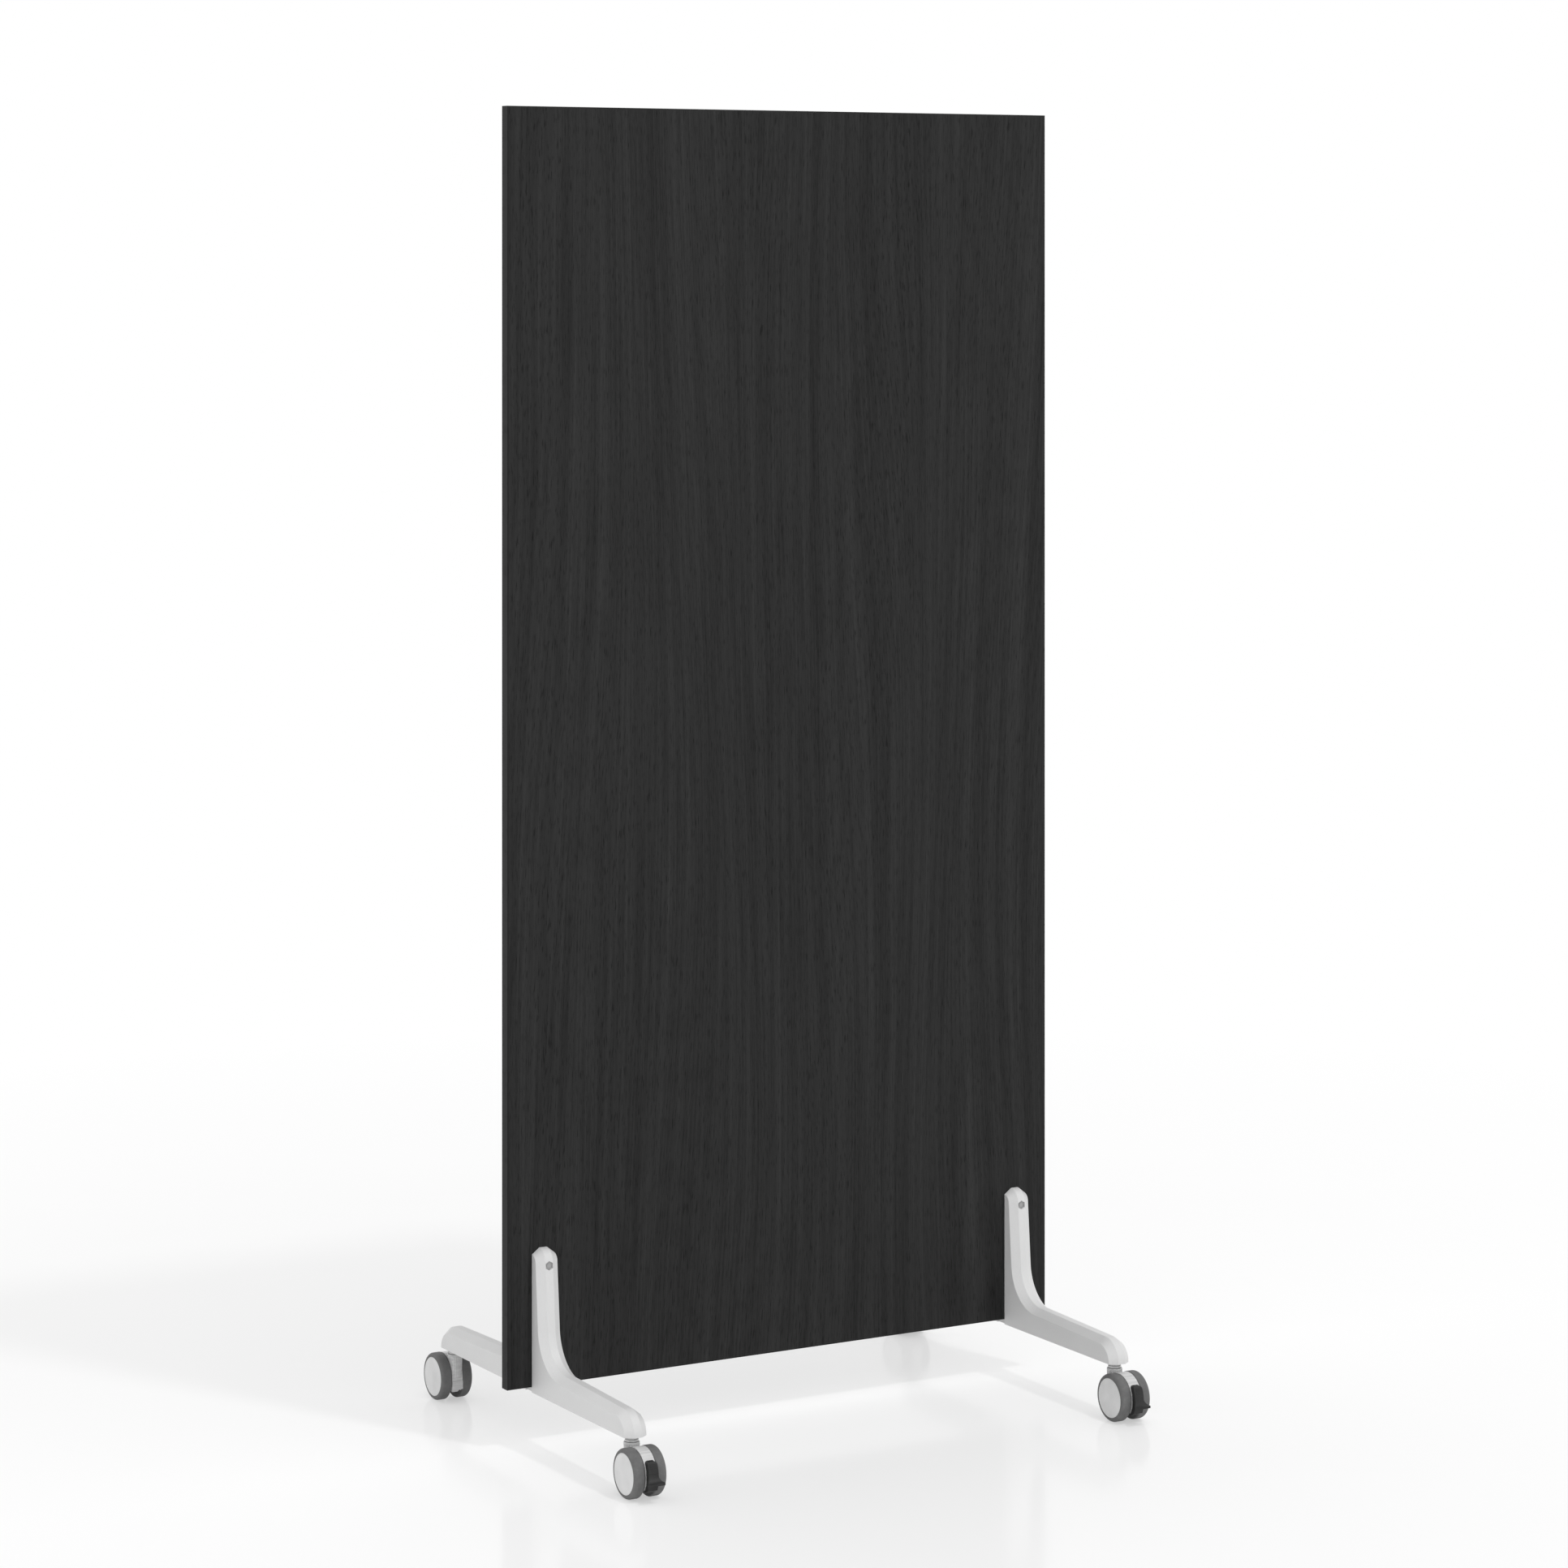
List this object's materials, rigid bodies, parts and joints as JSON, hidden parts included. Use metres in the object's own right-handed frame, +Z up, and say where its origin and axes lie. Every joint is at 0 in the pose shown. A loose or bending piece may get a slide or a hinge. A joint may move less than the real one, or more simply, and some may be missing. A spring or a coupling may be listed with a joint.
{
  "type": "rolling office screen",
  "caption": "Free-standing office screen: a dark wood-grain panel clamped between cast splayed feet that roll on swivel casters with brake pedals.",
  "frame": {"origin": "on the floor under the middle of the panel", "axes": "+X along the panel to the right seen from the front, +Y from the front face to the rear face, +Z up"},
  "size_m": [0.9144, 0.705, 1.9158],
  "materials": {
    "chipboard": "raw particle board, hidden under the laminate and edge bands",
    "black_laminate": "matt black laminate with a fine upright wood grain",
    "edge_banding": "matt black edge banding with rounded arrises",
    "leg_paint": "satin silver-white powder coat on cast aluminium",
    "zinc_steel": "zinc plated",
    "stem_steel": "dull zinc plated",
    "bush_plastic": "natural acetal",
    "hood_plastic": "light grey moulded plastic",
    "pedal_plastic": "black moulded plastic",
    "tyre_rubber": "dark grey soft tread",
    "hub_plastic": "grey moulded plastic",
    "cap_plastic": "light grey moulded plastic, fine texture"
  },
  "bodies": {
    "screen": {"bridge_screws": "zinc_steel", "caster_stems": "stem_steel", "clamp_bolts": "zinc_steel", "clamp_nuts": "zinc_steel", "edge_band_bottom": "edge_banding", "edge_band_left": "edge_banding", "edge_band_right": "edge_banding", "edge_band_top": "edge_banding", "front_laminate": "black_laminate", "left_bridge_bar": "leg_paint", "left_front_leg": "leg_paint", "left_rear_leg": "leg_paint", "panel_core": "chipboard", "rear_laminate": "black_laminate", "right_bridge_bar": "leg_paint", "right_front_leg": "leg_paint", "right_rear_leg": "leg_paint", "stem_rings": "zinc_steel"},
    "left_front_caster": {"left_front_hood": "hood_plastic", "left_front_axle": "zinc_steel", "left_front_swivel_bush": "bush_plastic"},
    "left_front_pedal": {"left_front_brake_pedal": "pedal_plastic"},
    "left_front_outer_wheel": {"left_front_outer_tyre": "tyre_rubber", "left_front_outer_hub": "hub_plastic", "left_front_outer_hub_cap": "cap_plastic"},
    "left_front_inner_wheel": {"left_front_inner_tyre": "tyre_rubber", "left_front_inner_hub": "hub_plastic", "left_front_inner_hub_cap": "cap_plastic"},
    "left_rear_caster": {"left_rear_hood": "hood_plastic", "left_rear_axle": "zinc_steel", "left_rear_swivel_bush": "bush_plastic"},
    "left_rear_pedal": {"left_rear_brake_pedal": "pedal_plastic"},
    "left_rear_outer_wheel": {"left_rear_outer_tyre": "tyre_rubber", "left_rear_outer_hub": "hub_plastic", "left_rear_outer_hub_cap": "cap_plastic"},
    "left_rear_inner_wheel": {"left_rear_inner_tyre": "tyre_rubber", "left_rear_inner_hub": "hub_plastic", "left_rear_inner_hub_cap": "cap_plastic"},
    "right_front_caster": {"right_front_hood": "hood_plastic", "right_front_axle": "zinc_steel", "right_front_swivel_bush": "bush_plastic"},
    "right_front_pedal": {"right_front_brake_pedal": "pedal_plastic"},
    "right_front_outer_wheel": {"right_front_outer_tyre": "tyre_rubber", "right_front_outer_hub": "hub_plastic", "right_front_outer_hub_cap": "cap_plastic"},
    "right_front_inner_wheel": {"right_front_inner_tyre": "tyre_rubber", "right_front_inner_hub": "hub_plastic", "right_front_inner_hub_cap": "cap_plastic"},
    "right_rear_caster": {"right_rear_hood": "hood_plastic", "right_rear_axle": "zinc_steel", "right_rear_swivel_bush": "bush_plastic"},
    "right_rear_pedal": {"right_rear_brake_pedal": "pedal_plastic"},
    "right_rear_outer_wheel": {"right_rear_outer_tyre": "tyre_rubber", "right_rear_outer_hub": "hub_plastic", "right_rear_outer_hub_cap": "cap_plastic"},
    "right_rear_inner_wheel": {"right_rear_inner_tyre": "tyre_rubber", "right_rear_inner_hub": "hub_plastic", "right_rear_inner_hub_cap": "cap_plastic"}
  },
  "joints": [
    {"name": "left_front_swivel", "type": "hinge", "parent": "screen", "child": "left_front_caster", "pos_m": [-0.401, -0.27953, 0.06399], "axis": [0, 0, 1], "continuous": true},
    {"name": "left_front_brake", "type": "hinge", "parent": "left_front_caster", "child": "left_front_pedal", "pos_m": [-0.401, -0.32903, 0.0335], "axis": [1, 0, 0], "range_deg": [0, 15]},
    {"name": "left_front_outer_spin", "type": "hinge", "parent": "left_front_caster", "child": "left_front_outer_wheel", "pos_m": [-0.401, -0.30302, 0.0345], "axis": [1, 0, 0], "continuous": true},
    {"name": "left_front_inner_spin", "type": "hinge", "parent": "left_front_caster", "child": "left_front_inner_wheel", "pos_m": [-0.401, -0.30302, 0.0345], "axis": [1, 0, 0], "continuous": true},
    {"name": "left_rear_swivel", "type": "hinge", "parent": "screen", "child": "left_rear_caster", "pos_m": [-0.401, 0.27953, 0.06399], "axis": [0, 0, 1], "continuous": true},
    {"name": "left_rear_brake", "type": "hinge", "parent": "left_rear_caster", "child": "left_rear_pedal", "pos_m": [-0.401, 0.32903, 0.0335], "axis": [-1, 0, 0], "range_deg": [0, 15]},
    {"name": "left_rear_outer_spin", "type": "hinge", "parent": "left_rear_caster", "child": "left_rear_outer_wheel", "pos_m": [-0.401, 0.30302, 0.0345], "axis": [1, 0, 0], "continuous": true},
    {"name": "left_rear_inner_spin", "type": "hinge", "parent": "left_rear_caster", "child": "left_rear_inner_wheel", "pos_m": [-0.401, 0.30302, 0.0345], "axis": [1, 0, 0], "continuous": true},
    {"name": "right_front_swivel", "type": "hinge", "parent": "screen", "child": "right_front_caster", "pos_m": [0.401, -0.27953, 0.06399], "axis": [0, 0, 1], "continuous": true},
    {"name": "right_front_brake", "type": "hinge", "parent": "right_front_caster", "child": "right_front_pedal", "pos_m": [0.401, -0.32903, 0.0335], "axis": [1, 0, 0], "range_deg": [0, 15]},
    {"name": "right_front_outer_spin", "type": "hinge", "parent": "right_front_caster", "child": "right_front_outer_wheel", "pos_m": [0.401, -0.30302, 0.0345], "axis": [1, 0, 0], "continuous": true},
    {"name": "right_front_inner_spin", "type": "hinge", "parent": "right_front_caster", "child": "right_front_inner_wheel", "pos_m": [0.401, -0.30302, 0.0345], "axis": [1, 0, 0], "continuous": true},
    {"name": "right_rear_swivel", "type": "hinge", "parent": "screen", "child": "right_rear_caster", "pos_m": [0.401, 0.27953, 0.06399], "axis": [0, 0, 1], "continuous": true},
    {"name": "right_rear_brake", "type": "hinge", "parent": "right_rear_caster", "child": "right_rear_pedal", "pos_m": [0.401, 0.32903, 0.0335], "axis": [-1, 0, 0], "range_deg": [0, 15]},
    {"name": "right_rear_outer_spin", "type": "hinge", "parent": "right_rear_caster", "child": "right_rear_outer_wheel", "pos_m": [0.401, 0.30302, 0.0345], "axis": [1, 0, 0], "continuous": true},
    {"name": "right_rear_inner_spin", "type": "hinge", "parent": "right_rear_caster", "child": "right_rear_inner_wheel", "pos_m": [0.401, 0.30302, 0.0345], "axis": [1, 0, 0], "continuous": true}
  ]
}
